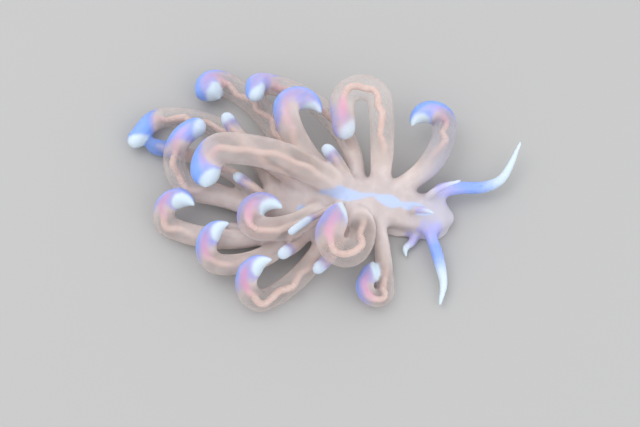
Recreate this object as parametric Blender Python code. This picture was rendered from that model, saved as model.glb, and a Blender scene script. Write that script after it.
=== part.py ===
"""A life-size still model of the sea slug Phyllodesmium opalescens, crawling on a flat floor.

Sizes below are in millimetres, +X towards the snout, +Y to the animal's left, +Z up, floor at Z = 0.
The meshes are made in metres. The slug is built as its parts: the body in five lengths, the foot
sole with its two front corners, two oral tentacles, two rhinophores, and the cerata, which are the
finger-like outgrowths of the back, each in a shaft and a curled tip.
"""
import math
from collections import namedtuple

import bmesh
import bpy
import numpy as np

MM = 0.001
GAP = 0.3                      # clear space kept between touching pieces
MODEL_CENTRE = (0.115, 4.765)   # middle of the model's outline in plan, moved to the origin

FOOT_THICKNESS = 0.8
FOOT_OVERHANG = 0.5            # how far the foot's edge stands out from the body
FOOT_EDGE_WAVE = 0.14
FOOT_WAVE_LENGTH = 5.5
FOOT_EDGE_HEIGHT = 0.35        # height where the foot's rounded edge stands out furthest
FOOT_ROUNDING = 0.35
BODY_FLOOR = FOOT_THICKNESS + GAP
BODY_SIDES = 28
BODY_RING_SPACING = 0.75
BODY_CUTS = [3.3, 9.4, 15.4, 21.2]   # distances behind the snout where the body's lengths part
BODY_NAMES = ["head", "neck", "body_front", "body_back", "tail"]
SNOUT_ROUNDING = [(0.45, 0.55), (0.2, 0.85)]   # distance ahead of the first station, share of its size

TUBE_SIDES = 12
SLIM_TUBE_SIDES = 10
SLIM_GIRTH = 2.2
SHAFT_SPACING = 1.25           # distance between the rings of a tube
TIP_SPACING = 0.75
FEELER_SPACING = 0.8
SHAFT_STEPS = 14
HOOK_STEPS = 11
TIP_OVERLAP = 0.7              # how far before the bend the coloured tip begins
ROOT_SUNK = 1.3                # how far a root is sunk in the body before it is cut free
ROOT_EASING = 4                # rounds of smoothing where the root turns out of the body
ROOT_SHARE = 0.55              # girth of a ceras at its root, as a share of the full girth
FULL_FROM = 0.35               # where a ceras reaches its full girth, as a share of its length
YOUNG_FULL_FROM = 0.85         # the same for a young, straight one
SLIM_FROM = 0.75               # where its end begins to slim
CURL_FILL = 1.9                # girth in a curl at most, as a share of the curl's radius
ROUND_END_ANGLES = [25, 50, 72]

Station = namedtuple("Station", "x y half_width top")
STATIONS = [
    Station(16.1, 0.6, 1.1, 2.0),
    Station(15.2, 0.7, 2.1, 3.0),
    Station(13.4, 0.9, 2.5, 3.6),
    Station(11.0, 1.2, 2.5, 3.9),
    Station(8.0, 2.0, 2.7, 4.3),
    Station(4.5, 2.7, 2.8, 4.6),
    Station(1.0, 2.7, 2.8, 4.7),
    Station(-2.5, 1.4, 2.4, 4.2),
    Station(-6.2, -0.3, 1.7, 3.2),
    Station(-9.6, -0.8, 0.9, 2.1),
    Station(-12.2, -0.1, 0.35, 1.5),
]

# A ceras. back: distance of its root behind the snout. height: 0 low on the flank, 1 on the midline.
# bend_x, bend_y: where the tip begins to curl, and aim: the plan heading there (None: a straight shaft).
# crown: height of the centre line at the bend, tip: at the end. hook: turn of the curl, of radius curl,
# and end: the straight stretch after it. lift: 1 for an even rise, more for a late one. blunt: girth at the
# end, as a share of the full girth.
FIELDS = "back height bend_x bend_y aim crown hook curl end tip girth lift blunt"
Ceras = namedtuple("Ceras", FIELDS, defaults=[1.0, 0.78])
LEFT_CERATA = [
    Ceras(7.2, 0.2, 15.6, 12.5, 88, 4.2, 172, 1.7, 0, 4.2, 3.2, blunt=0.68),
    Ceras(9.6, 0.3, 7.3, 14.4, 95, 6.7, 180, 2.45, 3.2, 6.3, 3.4, blunt=0.92),
    Ceras(12.2, 0.0, -6.5, 18.8, 165, 3.2, 105, 1.75, 0.9, 5.7, 2.9, blunt=0.92),
    Ceras(12.8, 0.7, 0.6, 7.6, None, 6.6, 0, 0, 0, 6.6, 1.9),
    Ceras(14.6, 0.0, -4.55, 12.7, 100, 6.9, -134, 2.1, 0.5, 6.2, 3.4, 1.5, 0.85),
    Ceras(14.9, 0.85, -12.3, 7.2, 178, 8.0, 95, 2.3, 0.9, 6.4, 4.1, 0.6, 0.82),
    Ceras(17.6, 0.6, -12.2, 12.9, 118, 4.9, 0, 0, 0, 4.9, 2.1),
    Ceras(19.8, 0.0, -12.6, 19.45, 152, 1.6, 62, 2.4, 0, 2.4, 3.3, blunt=1.18),
    Ceras(21.8, 0.85, -10.7, 4.6, None, 5.0, 0, 0, 0, 5.0, 1.6),
    Ceras(22.1, 0.0, -20.0, 15.0, 180, 1.33, 55, 3.2, 2.6, 1.8, 2.9, blunt=0.88),
    Ceras(24.6, 0.2, -15.6, 3.9, 172, 2.2, -152, 3.8, 0.3, 5.5, 3.1, blunt=0.92),
    Ceras(22.85, 0.9, -20.9, 10.2, 168, 1.05, 0, 0, 0, 1.05, 1.5, 2.0),
]
RIGHT_CERATA = [
    Ceras(8.6, 0.0, 7.8, -9.1, -88, 1.1, -190, 1.35, 2.2, 2.4, 2.4, blunt=0.75),
    Ceras(12.0, 0.3, 4.3, -5.9, 240, 6.5, -178, 2.05, 2.9, 8.3, 3.3, blunt=0.72),
    Ceras(13.3, 0.0, -0.6, -7.5, 222, 4.1, 0, 0, 0, 4.1, 1.8, 1.8),
    Ceras(15.9, 0.0, -6.5, -10.4, 206, 1.33, -212, 1.75, 0.1, 6.2, 2.9, blunt=0.78),
    Ceras(13.8, 0.7, -3.9, -4.0, None, 7.3, 0, 0, 0, 7.3, 1.1, 1.3),
    Ceras(17.8, 0.6, -7.5, -2.9, 172, 5.5, -216, 1.95, 0.5, 6.5, 3.2, 0.7, 0.72),
    Ceras(18.4, 0.0, -4.9, -6.1, 228, 5.4, 0, 0, 0, 5.4, 1.8, 3.5),
    Ceras(21.0, 0.0, -12.8, -6.3, 174, 2.5, -184, 1.9, 0, 5.7, 2.8, blunt=0.75),
    Ceras(23.2, 0.1, -19.2, -1.2, 156, 1.38, -222, 1.6, 0, 4.6, 2.9, blunt=1.0),
]

# A feeler: points of its centre line from the root to the tip, and the girth at each point
LEFT_TENTACLE = [(13.6, 2.2, 2.4), (15.0, 3.9, 2.4), (17.3, 4.4, 2.2), (20.4, 4.7, 1.8), (22.6, 5.7, 1.8),
                 (23.9, 7.6, 2.0), (25.3, 10.6, 2.6)]
LEFT_TENTACLE_GIRTHS = [2.3, 2.0, 1.7, 1.6, 1.4, 1.1, 0.6]
RIGHT_TENTACLE = [(13.3, 0.2, 2.0), (13.5, -1.9, 2.0), (14.2, -4.2, 1.7), (14.7, -6.3, 1.4), (15.0, -8.4, 1.1),
                  (14.5, -11.0, 0.9)]
RIGHT_TENTACLE_GIRTHS = [2.1, 1.9, 1.75, 1.6, 1.2, 0.6]
TENTACLE_PARTING = 0.55        # where a tentacle's two lengths part, as a share of its length
LEFT_RHINOPHORE = [(12.6, 1.8, 3.0), (13.5, 2.5, 4.3), (15.2, 3.3, 5.0), (17.2, 4.0, 5.2)]
RIGHT_RHINOPHORE = [(10.8, 0.6, 3.4), (11.6, 0.1, 4.9), (12.6, -0.6, 6.2), (13.6, -1.3, 7.0)]
RHINOPHORE_GIRTHS = [1.3, 1.2, 1.0, 0.55]
LEFT_FOOT_CORNER = [(12.6, 2.0, 0.75), (12.2, 3.7, 0.75), (11.2, 4.6, 0.7), (10.2, 4.8, 0.6)]
RIGHT_FOOT_CORNER = [(12.2, -0.6, 0.75), (11.2, -2.5, 0.75), (10.3, -3.3, 0.7), (10.5, -4.3, 0.6)]
FOOT_CORNER_GIRTHS = [1.4, 1.25, 1.0, 0.6]
FEELER_STEPS = 5

# Colour, roughness
SKIN = ((0.80, 0.70, 0.72), 0.35)
FOOT_SKIN = ((0.84, 0.77, 0.79), 0.35)
FEELER = ((0.62, 0.68, 0.95), 0.35)
SHAFT = ((0.82, 0.70, 0.69), 0.3)
TIP = ((0.55, 0.60, 0.95), 0.3)


def clear_scene():
    """Removes every object that the file opened with."""
    for thing in list(bpy.data.objects):
        bpy.data.objects.remove(thing, do_unlink=True)


def smooth_through(rows, steps):
    """Rows of a smooth curve that passes through the given rows."""
    rows = np.asarray(rows, float)
    padded = np.vstack([2 * rows[0] - rows[1], rows, 2 * rows[-1] - rows[-2]])
    curve = []
    for i in range(len(rows) - 1):
        a, b, c, d = padded[i:i + 4]
        for k in range(steps):
            t = k / steps
            curve.append(0.5 * (2 * b + (c - a) * t + (2 * a - 5 * b + 4 * c - d) * t ** 2
                                + (3 * b - a - 3 * c + d) * t ** 3))
    curve.append(rows[-1])
    return np.array(curve)


def lengths_along(points):
    """Distance along a line of points, at each point."""
    return np.concatenate([[0], np.cumsum(np.linalg.norm(np.diff(points, axis=0), axis=1))])


SPINE = smooth_through(STATIONS, 12)
SPINE_BACK = lengths_along(SPINE[:, :2])
SPINE_LENGTH = SPINE_BACK[-1]


def body_at(back):
    """Midline x, y, half width and top, at a distance behind the snout, and the plan direction forward."""
    row = [np.interp(back, SPINE_BACK, SPINE[:, k]) for k in range(4)]
    reach = 0.4
    ahead = np.array([np.interp(back - reach, SPINE_BACK, SPINE[:, k]) for k in range(2)])
    behind = np.array([np.interp(back + reach, SPINE_BACK, SPINE[:, k]) for k in range(2)])
    forward = (ahead - behind) / np.linalg.norm(ahead - behind)
    return row, forward


def flank_point(back, side, height):
    """A point of the body's surface, on its left (side 1) or right (side -1)."""
    (x, y, half_width, top), forward = body_at(back)
    left = np.array([-forward[1], forward[0]])
    angle = math.radians(90 * height)
    middle = 0.5 * (BODY_FLOOR + top)
    out = side * half_width * math.cos(angle)
    return np.array([x + left[0] * out, y + left[1] * out, middle + (top - middle) * math.sin(angle)])


def arc_points(start, heading, turn, length, steps):
    """Plan points along an arc that starts at a heading and turns evenly."""
    points = [np.array(start, float)]
    for k in range(steps):
        angle = heading + turn * (k + 0.5) / steps
        points.append(points[-1] + length / steps * np.array([math.cos(angle), math.sin(angle)]))
    return points


def ceras_path(c, side):
    """Centre line of a ceras, from its place on the flank to its end, and the index of its bend."""
    root = flank_point(c.back, side, c.height)
    across = np.array([c.bend_x, c.bend_y]) - root[:2]
    chord = np.linalg.norm(across)
    chord_heading = math.atan2(across[1], across[0])
    aim = chord_heading if c.aim is None else math.radians(c.aim)
    half_turn = (aim - chord_heading + math.pi) % (2 * math.pi) - math.pi
    length = chord / np.sinc(half_turn / math.pi)
    plan = arc_points(root[:2], chord_heading - half_turn, 2 * half_turn, length, SHAFT_STEPS)
    points = []
    for k, (x, y) in enumerate(plan):
        rise = math.sin(math.pi / 2 * (k / SHAFT_STEPS) ** c.lift)
        points.append((x, y, root[2] + (c.crown - root[2]) * rise))
    if c.hook:
        hook = math.radians(c.hook)
        curl = arc_points(plan[-1], aim, hook, c.curl * abs(hook), HOOK_STEPS)[1:]
        if c.end:
            onward = np.array([math.cos(aim + hook), math.sin(aim + hook)])
            curl.append(curl[-1] + c.end * onward)
        for k, (x, y) in enumerate(curl):
            share = (k + 1) / len(curl)
            points.append((x, y, c.crown + (c.tip - c.crown) * share ** 2 * (3 - 2 * share)))
    return np.array(points)


def ceras_girths(c, points):
    """Girth of a ceras along its centre line: a slim root, a full shaft and a blunt end."""
    share = lengths_along(points)
    share = share / share[-1]
    if not c.hook:
        return c.girth * (ROOT_SHARE + (1 - ROOT_SHARE) * np.minimum(1, share / YOUNG_FULL_FROM) ** 1.5)
    grow = ROOT_SHARE + (1 - ROOT_SHARE) * np.minimum(1, share / FULL_FROM) ** 0.8
    shrink = 1 - (1 - c.blunt) * np.maximum(0, (share - SLIM_FROM) / (1 - SLIM_FROM)) ** 2
    girths = c.girth * grow * shrink
    girths[SHAFT_STEPS:] = np.minimum(girths[SHAFT_STEPS:], CURL_FILL * c.curl)
    return girths


def resample(points, girths, start, stop, spacing):
    """The stretch of a centre line between two distances, with its girths, at even steps."""
    along = lengths_along(points)
    places = np.linspace(start, stop, max(3, round((stop - start) / spacing) + 1))
    line = np.array([[np.interp(p, along, points[:, k]) for k in range(3)] for p in places])
    return line, np.interp(places, along, girths)


def way_at(points, place):
    """Direction of a centre line at a distance along it."""
    along = lengths_along(points)
    reach = 0.3
    ends = [np.array([np.interp(p, along, points[:, k]) for k in range(3)]) for p in (place - reach, place + reach)]
    return (ends[1] - ends[0]) / np.linalg.norm(ends[1] - ends[0])


def mesh_object(name, verts, faces):
    """A new mesh object from points in millimetres."""
    mesh = bpy.data.meshes.new(name)
    offset = (MODEL_CENTRE[0], MODEL_CENTRE[1], 0)
    mesh.from_pydata([[(v[k] - offset[k]) * MM for k in range(3)] for v in verts], [], faces)
    thing = bpy.data.objects.new(name, mesh)
    bpy.context.scene.collection.objects.link(thing)
    fix = bmesh.new()
    fix.from_mesh(mesh)
    bmesh.ops.recalc_face_normals(fix, faces=fix.faces)
    fix.to_mesh(mesh)
    fix.free()
    return thing


def skin_rings(name, rings, start_cap=True, pole=None):
    """A closed mesh from rings of equal size, with flat ends, or a pole as its far end."""
    sides = len(rings[0])
    verts = [v for ring in rings for v in ring]
    faces = []
    for r in range(len(rings) - 1):
        for s in range(sides):
            t = (s + 1) % sides
            faces.append([r * sides + s, r * sides + t, (r + 1) * sides + t, (r + 1) * sides + s])
    if start_cap:
        faces.append(list(range(sides)))
    last = (len(rings) - 1) * sides
    if pole is None:
        faces.append(list(range(last, last + sides)))
    else:
        verts.append(pole)
        faces.extend([[last + s, last + (s + 1) % sides, len(verts) - 1] for s in range(sides)])
    return mesh_object(name, verts, faces)


def tube(name, points, girths, sides, round_end, start_way=None, end_way=None):
    """A round tube along a centre line. Nothing of it goes under the floor, so it rests on small flats.

    start_way and end_way set the directions that its flat ends face along.
    """
    tangents = np.gradient(points, axis=0)
    tangents /= np.linalg.norm(tangents, axis=1)[:, None]
    if start_way is not None:
        tangents[0] = start_way
    if end_way is not None:
        tangents[-1] = end_way
    side_way = np.cross(tangents[0], [0, 0, 1])
    side_way /= np.linalg.norm(side_way)
    rings = []
    for point, tangent, girth in zip(points, tangents, girths):
        side_way = side_way - tangent * (side_way @ tangent)
        side_way /= np.linalg.norm(side_way)
        rings.append(ring_of(point, tangent, side_way, girth / 2, sides))
    pole = None
    if round_end:
        radius = girths[-1] / 2
        for angle in ROUND_END_ANGLES:
            out = points[-1] + tangents[-1] * radius * math.sin(math.radians(angle))
            rings.append(ring_of(out, tangents[-1], side_way, radius * math.cos(math.radians(angle)), sides))
        pole = points[-1] + tangents[-1] * radius
    return skin_rings(name, rings, pole=pole)


def ring_of(centre, tangent, side_way, radius, sides):
    """One ring of a tube, kept above the floor."""
    up_way = np.cross(side_way, tangent)
    ring = []
    for s in range(sides):
        angle = 2 * math.pi * (s + 0.5) / sides
        point = centre + radius * (math.cos(angle) * side_way + math.sin(angle) * up_way)
        point[2] = max(point[2], 0.0)
        ring.append(point)
    return ring


def body_ring(back, grow=0.0, size=1.0, ahead=0.0):
    """Cross-section of the body: domed above, flat below."""
    (x, y, half_width, top), forward = body_at(back)
    left = np.array([-forward[1], forward[0]])
    floor = BODY_FLOOR - grow
    middle = 0.5 * (BODY_FLOOR + top)
    ring = []
    for s in range(BODY_SIDES):
        angle = 2 * math.pi * s / BODY_SIDES
        out = (half_width * size + grow) * math.cos(angle)
        rise = math.sin(angle)
        if rise >= 0:
            z = middle + ((top - middle) * size + grow) * rise
        else:
            z = middle - (middle - floor) * math.sqrt(-rise)
        ring.append((x + left[0] * out + forward[0] * ahead, y + left[1] * out + forward[1] * ahead, z))
    return ring


def snout_rings(grow=0.0):
    """Rounded front end of the head."""
    return [body_ring(0, grow, size, ahead + grow) for ahead, size in SNOUT_ROUNDING]


def body_length(name, start, stop, grow=0.0):
    """One length of the body between two distances behind the snout."""
    count = max(3, round((stop - start) / BODY_RING_SPACING) + 1)
    rings = [body_ring(back, grow) for back in np.linspace(start, stop, count)]
    if start == 0:
        rings = snout_rings(grow) + rings
    return skin_rings(name, rings)


def foot_half_width(back):
    """Half the foot's width, with a gentle wave along its edge."""
    (_, _, half_width, _), _ = body_at(back)
    wave = FOOT_EDGE_WAVE * math.sin(2 * math.pi * back / FOOT_WAVE_LENGTH)
    return half_width + FOOT_OVERHANG + wave * min(1, half_width / 2)


def foot_ring(back, grow=0.0, size=1.0):
    """Cross-section of the foot: flat below and above, with a rounded edge."""
    (x, y, _, _), forward = body_at(back)
    left = np.array([-forward[1], forward[0]])
    half = foot_half_width(back) * size + grow
    top = FOOT_THICKNESS + grow
    bottom = -grow
    inset = FOOT_ROUNDING
    right_side = [(half - inset, bottom), (half - 0.25 * inset, bottom + 0.4 * inset), (half, FOOT_EDGE_HEIGHT),
                  (half - 0.3 * inset, top - 0.6 * inset), (half - inset, top)]
    profile = right_side + [(-out, z) for out, z in reversed(right_side)]
    return [(x + left[0] * out, y + left[1] * out, z) for out, z in profile]


def foot(name, grow=0.0):
    """The sole that the slug crawls on."""
    count = round(SPINE_LENGTH / BODY_RING_SPACING)
    rings = [foot_ring(back, grow) for back in np.linspace(-grow, SPINE_LENGTH + grow, count)]
    return skin_rings(name, rings)


def largest_piece(thing):
    """Keeps only the largest closed surface of a mesh, and welds the slivers of a cut."""
    weld = 0.004 * MM
    bm = bmesh.new()
    bm.from_mesh(thing.data)
    bmesh.ops.remove_doubles(bm, verts=bm.verts, dist=weld)
    bmesh.ops.dissolve_degenerate(bm, edges=bm.edges, dist=weld)
    left = set(bm.verts)
    best = []
    while left:
        stack = [left.pop()]
        piece = list(stack)
        while stack:
            for edge in stack.pop().link_edges:
                for vert in edge.verts:
                    if vert in left:
                        left.remove(vert)
                        stack.append(vert)
                        piece.append(vert)
        if len(piece) > len(best):
            best = piece
    keep = set(best)
    bmesh.ops.delete(bm, geom=[v for v in bm.verts if v not in keep], context="VERTS")
    bmesh.ops.recalc_face_normals(bm, faces=bm.faces)
    bm.to_mesh(thing.data)
    bm.free()


def cut_free(thing, cutters):
    """Cuts a piece clear of what it grows from, so that its root matches that surface."""
    for cutter in cutters:
        modifier = thing.modifiers.new("clear of " + cutter.name, "BOOLEAN")
        modifier.operation = "DIFFERENCE"
        modifier.object = cutter
        modifier.solver = "EXACT"
    graph = bpy.context.evaluated_depsgraph_get()
    shaped = bpy.data.meshes.new_from_object(thing.evaluated_get(graph))
    thing.modifiers.clear()
    thing.data = shaped
    largest_piece(thing)


def finish(thing, look):
    """Smooth shading and the piece's own material."""
    colour, roughness = look
    thing.data.shade_smooth()
    thing.data.set_sharp_from_angle(angle=math.radians(50))
    material = bpy.data.materials.new(thing.name)
    material.use_nodes = True
    shader = material.node_tree.nodes["Principled BSDF"]
    shader.inputs["Base Color"].default_value = (*colour, 1)
    shader.inputs["Roughness"].default_value = roughness
    shader.inputs["Metallic"].default_value = 0
    thing.data.materials.clear()
    thing.data.materials.append(material)


def build_body():
    """The five lengths of the body, and the sole under them."""
    edges = [0] + BODY_CUTS + [SPINE_LENGTH]
    for name, start, stop in zip(BODY_NAMES, edges[:-1], edges[1:]):
        first = start + (GAP / 2 if start else 0)
        last = stop - (GAP / 2 if stop < SPINE_LENGTH else 0)
        finish(body_length(name, first, last), SKIN)
    finish(foot("foot_sole"), FOOT_SKIN)


def sunk_root(points, girths, back):
    """Adds a point inside the body, so that the root starts well under the surface."""
    (x, y, _, top), _ = body_at(back)
    core = np.array([x, y, 0.5 * (BODY_FLOOR + top)])
    inward = core - points[0]
    inward *= min(1.0, ROOT_SUNK / np.linalg.norm(inward))
    line = np.vstack([points[0] + inward, points])
    for _ in range(ROOT_EASING):
        line[1:4] = 0.25 * line[0:3] + 0.5 * line[1:4] + 0.25 * line[2:5]
    return line, np.concatenate([[girths[0]], girths])


def build_ceras(name, c, side, cutters):
    """One ceras: a shaft and a curled tip, or a single finger where it is young and straight."""
    points = ceras_path(c, side)
    girths = ceras_girths(c, points)
    bend = lengths_along(points[:SHAFT_STEPS + 1])[-1]
    points, girths = sunk_root(points, girths, c.back)
    sunk = np.linalg.norm(points[1] - points[0])
    total = lengths_along(points)[-1]
    sides = TUBE_SIDES if c.girth > SLIM_GIRTH else SLIM_TUBE_SIDES
    if not c.hook:
        line, widths = resample(points, girths, 0, total, SHAFT_SPACING)
        finger = tube(name, line, widths, sides, True)
        cut_free(finger, cutters)
        finish(finger, TIP)
        return
    parting = sunk + bend - TIP_OVERLAP
    way = way_at(points, parting)
    line, widths = resample(points, girths, 0, parting - GAP / 2, SHAFT_SPACING)
    shaft = tube(name + "_shaft", line, widths, sides, False, end_way=way)
    cut_free(shaft, cutters)
    finish(shaft, SHAFT)
    line, widths = resample(points, girths, parting + GAP / 2, total, TIP_SPACING)
    finish(tube(name + "_tip", line, widths, sides, True, start_way=way), TIP)


def build_feeler(name, points, girths, cutters, parting=None):
    """A tapering feeler: one piece, or two lengths where it is long."""
    line = smooth_through(points, FEELER_STEPS)
    widths = np.interp(np.linspace(0, 1, len(line)), np.linspace(0, 1, len(girths)), girths)
    total = lengths_along(line)[-1]
    stops = [0, total] if parting is None else [0, parting * total, total]
    names = [name] if parting is None else [name + "_base", name + "_end"]
    for label, start, stop in zip(names, stops[:-1], stops[1:]):
        first = start + (GAP / 2 if start else 0)
        last = stop - (GAP / 2 if stop < total else 0)
        stretch, girth = resample(line, widths, first, last, FEELER_SPACING)
        piece = tube(label, stretch, girth, TUBE_SIDES, stop == total)
        if start == 0:
            cut_free(piece, cutters)
        finish(piece, FEELER)


def main():
    clear_scene()
    build_body()
    body_cutter = body_length("body_clearance", 0, SPINE_LENGTH, GAP)
    foot_cutter = foot("foot_clearance", GAP)
    cutters = [body_cutter, foot_cutter]
    for cutter in cutters:
        cutter.hide_render = True
        cutter.display_type = "WIRE"
    for side, label, cerata in ((1, "left", LEFT_CERATA), (-1, "right", RIGHT_CERATA)):
        for number, c in enumerate(cerata, 1):
            build_ceras(f"ceras_{label}_{number}", c, side, cutters)
    build_feeler("oral_tentacle_left", LEFT_TENTACLE, LEFT_TENTACLE_GIRTHS, cutters, TENTACLE_PARTING)
    build_feeler("oral_tentacle_right", RIGHT_TENTACLE, RIGHT_TENTACLE_GIRTHS, cutters, TENTACLE_PARTING)
    build_feeler("rhinophore_left", LEFT_RHINOPHORE, RHINOPHORE_GIRTHS, cutters)
    build_feeler("rhinophore_right", RIGHT_RHINOPHORE, RHINOPHORE_GIRTHS, cutters)
    build_feeler("foot_corner_left", LEFT_FOOT_CORNER, FOOT_CORNER_GIRTHS, cutters)
    build_feeler("foot_corner_right", RIGHT_FOOT_CORNER, FOOT_CORNER_GIRTHS, cutters)
    for cutter in cutters:
        bpy.data.objects.remove(cutter, do_unlink=True)


main()
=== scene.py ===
"""Looks of the life-size sea slug Phyllodesmium opalescens.

One skin is grown over the whole animal: its body, foot, feelers and cerata. It is milky on the body and
clear along the cerata, whose glands show through it as knobby pink ducts. The tips of the cerata turn
violet-blue over a pink core and end in white. Sizes are in millimetres, in the same frame as the solids:
+X towards the snout, +Y to the animal's left, +Z up, floor at Z = 0.
"""

import math
from collections import namedtuple

import bpy
import numpy as np
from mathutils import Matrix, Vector


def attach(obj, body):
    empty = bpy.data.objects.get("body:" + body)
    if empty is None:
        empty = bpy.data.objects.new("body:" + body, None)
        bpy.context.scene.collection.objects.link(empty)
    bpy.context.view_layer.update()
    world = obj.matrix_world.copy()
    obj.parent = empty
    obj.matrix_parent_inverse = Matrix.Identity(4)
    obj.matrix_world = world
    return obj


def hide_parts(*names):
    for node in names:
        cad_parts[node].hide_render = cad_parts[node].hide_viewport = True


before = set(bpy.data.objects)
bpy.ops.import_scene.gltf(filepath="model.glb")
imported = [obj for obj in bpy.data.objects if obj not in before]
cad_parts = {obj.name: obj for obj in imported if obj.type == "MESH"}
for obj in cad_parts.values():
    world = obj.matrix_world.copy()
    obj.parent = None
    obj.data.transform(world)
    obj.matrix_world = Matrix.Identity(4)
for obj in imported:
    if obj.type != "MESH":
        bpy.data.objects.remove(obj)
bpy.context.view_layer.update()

MM = 0.001
MODEL_CENTRE = np.array([0.115, 4.765, 0.0])   # middle of the model's outline in plan, moved to the origin

# Photograph
IMAGE_WIDTH = 640
PIXELS_PER_MM = 8.0            # at the target's distance
CAMERA_ELEVATION = math.radians(65)
CAMERA_DISTANCE = 220.0
CAMERA_TARGET = np.array([-0.375, 0.0, 4.0])
SENSOR_WIDTH = 36.0

# Body and foot, as in the solids but for finer roundings
FOOT_THICKNESS = 0.8
FOOT_OVERHANG = 0.5            # how far the foot's edge stands out from the body
FOOT_EDGE = [(0.35, 0), (0.1, 0.15), (0, 0.35), (0.12, 0.55), (0.5, FOOT_THICKNESS)]   # inset and height
FOOT_EDGE_WAVE = 0.14
FOOT_WAVE_LENGTH = 5.5
FOOT_WAVE_FULL = 2.0           # half width of the body from which the edge waves fully
BODY_FLOOR = 1.1
BODY_SIDES = 72
RING_SPACING = 0.3
SPINE_STEPS = 12               # steps of the smooth midline between two stations
HEADING_REACH = 0.4            # reach to either side for the midline's direction
# Rings of the rounded snout: distance ahead of the first station, and share of its size
SNOUT_ROUNDING = [(0.52, 0.35), (0.45, 0.55), (0.32, 0.75), (0.2, 0.88), (0.08, 0.96)]

Station = namedtuple("Station", "x y half_width top")
STATIONS = [
    Station(16.1, 0.6, 1.1, 2.0),
    Station(15.2, 0.7, 2.1, 3.0),
    Station(13.4, 0.9, 2.5, 3.6),
    Station(11.0, 1.2, 2.5, 3.9),
    Station(8.0, 2.0, 2.7, 4.3),
    Station(4.5, 2.7, 2.8, 4.6),
    Station(1.0, 2.7, 2.8, 4.7),
    Station(-2.5, 1.4, 2.4, 4.2),
    Station(-6.2, -0.3, 1.7, 3.2),
    Station(-9.6, -0.8, 0.9, 2.1),
    Station(-12.2, -0.1, 0.35, 1.5),
]

# Cerata, as in the solids but for the last left one, which is a little longer and thicker here. back:
# distance of the root behind the snout. height: 0 low on the flank, 1 on the midline. bend_x, bend_y: where
# the tip begins to curl, and aim: the plan heading there. crown: height of the centre line at the bend,
# tip: at the end. hook: turn of the curl, of radius curl, and end: the straight stretch after it. lift: 1
# for an even rise, more for a late one. blunt: girth at the end, as a share of the full girth
SHAFT_STEPS = 14
HOOK_STEPS = 11
ROOT_SUNK = 1.3
ROOT_SHARE = 0.8               # a little fuller than in the solids, so that neighbours fuse at the root
FULL_FROM = 0.35               # share of the length where the girth has grown full
GROWTH = 0.8                   # 1 for even growth up to there, and less where most of it comes early
YOUNG_FULL_FROM = 0.85         # the same two for a straight, young ceras
YOUNG_GROWTH = 1.5
SLIM_FROM = 0.75               # share of the length where the end begins to slim
CURL_FILL = 3.5                # most girth in a curl, as a share of its radius, more than in the solids
FIELDS = "back height bend_x bend_y aim crown hook curl end tip girth lift blunt"
Ceras = namedtuple("Ceras", FIELDS, defaults=[1.0, 0.78])
LEFT_CERATA = [
    Ceras(7.2, 0.2, 15.6, 12.5, 88, 4.2, 172, 1.7, 0, 4.2, 3.2, blunt=0.68),
    Ceras(9.6, 0.3, 7.3, 14.4, 95, 6.7, 180, 2.45, 3.2, 6.3, 3.4, blunt=0.92),
    Ceras(12.2, 0.0, -6.5, 18.8, 165, 3.2, 105, 1.75, 0.9, 5.7, 2.9, blunt=0.92),
    Ceras(12.8, 0.7, 0.6, 7.6, None, 6.6, 0, 0, 0, 6.6, 1.9),
    Ceras(14.6, 0.0, -4.55, 12.7, 100, 6.9, -134, 2.1, 0.5, 6.2, 3.4, 1.5, 0.85),
    Ceras(14.9, 0.85, -12.3, 7.2, 178, 8.0, 95, 2.3, 0.9, 6.4, 4.1, 0.6, 0.82),
    Ceras(17.6, 0.6, -12.2, 12.9, 118, 4.9, 0, 0, 0, 4.9, 2.1),
    Ceras(19.8, 0.0, -12.6, 19.45, 152, 1.6, 62, 2.4, 0, 2.4, 3.3, blunt=1.18),
    Ceras(21.8, 0.85, -10.7, 4.6, None, 5.0, 0, 0, 0, 5.0, 1.6),
    Ceras(22.1, 0.0, -20.0, 15.0, 180, 1.33, 55, 3.2, 2.6, 1.8, 2.9, blunt=0.88),
    Ceras(24.6, 0.2, -15.6, 3.9, 172, 2.2, -152, 3.8, 0.3, 5.5, 3.1, blunt=0.92),
    Ceras(22.85, 0.9, -21.7, 10.8, 168, 1.25, 0, 0, 0, 1.25, 2.3, 2.0),
]
RIGHT_CERATA = [
    Ceras(8.6, 0.0, 7.8, -9.1, -88, 1.1, -190, 1.35, 2.2, 2.4, 2.4, blunt=0.75),
    Ceras(12.0, 0.3, 4.3, -5.9, 240, 6.5, -178, 2.05, 2.9, 8.3, 3.3, blunt=0.72),
    Ceras(13.3, 0.0, -0.6, -7.5, 222, 4.1, 0, 0, 0, 4.1, 1.8, 1.8),
    Ceras(15.9, 0.0, -6.5, -10.4, 206, 1.33, -212, 1.75, 0.1, 6.2, 2.9, blunt=0.78),
    Ceras(13.8, 0.7, -3.9, -4.0, None, 7.3, 0, 0, 0, 7.3, 1.1, 1.3),
    Ceras(17.8, 0.6, -7.5, -2.9, 172, 5.5, -216, 1.95, 0.5, 6.5, 3.2, 0.7, 0.72),
    Ceras(18.4, 0.0, -4.9, -6.1, 228, 5.4, 0, 0, 0, 5.4, 1.8, 3.5),
    Ceras(21.0, 0.0, -12.8, -6.3, 174, 2.5, -184, 1.9, 0, 5.7, 2.8, blunt=0.75),
    Ceras(23.2, 0.1, -19.2, -1.2, 156, 1.38, -222, 1.6, 0, 4.6, 2.9, blunt=1.0),
]

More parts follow.
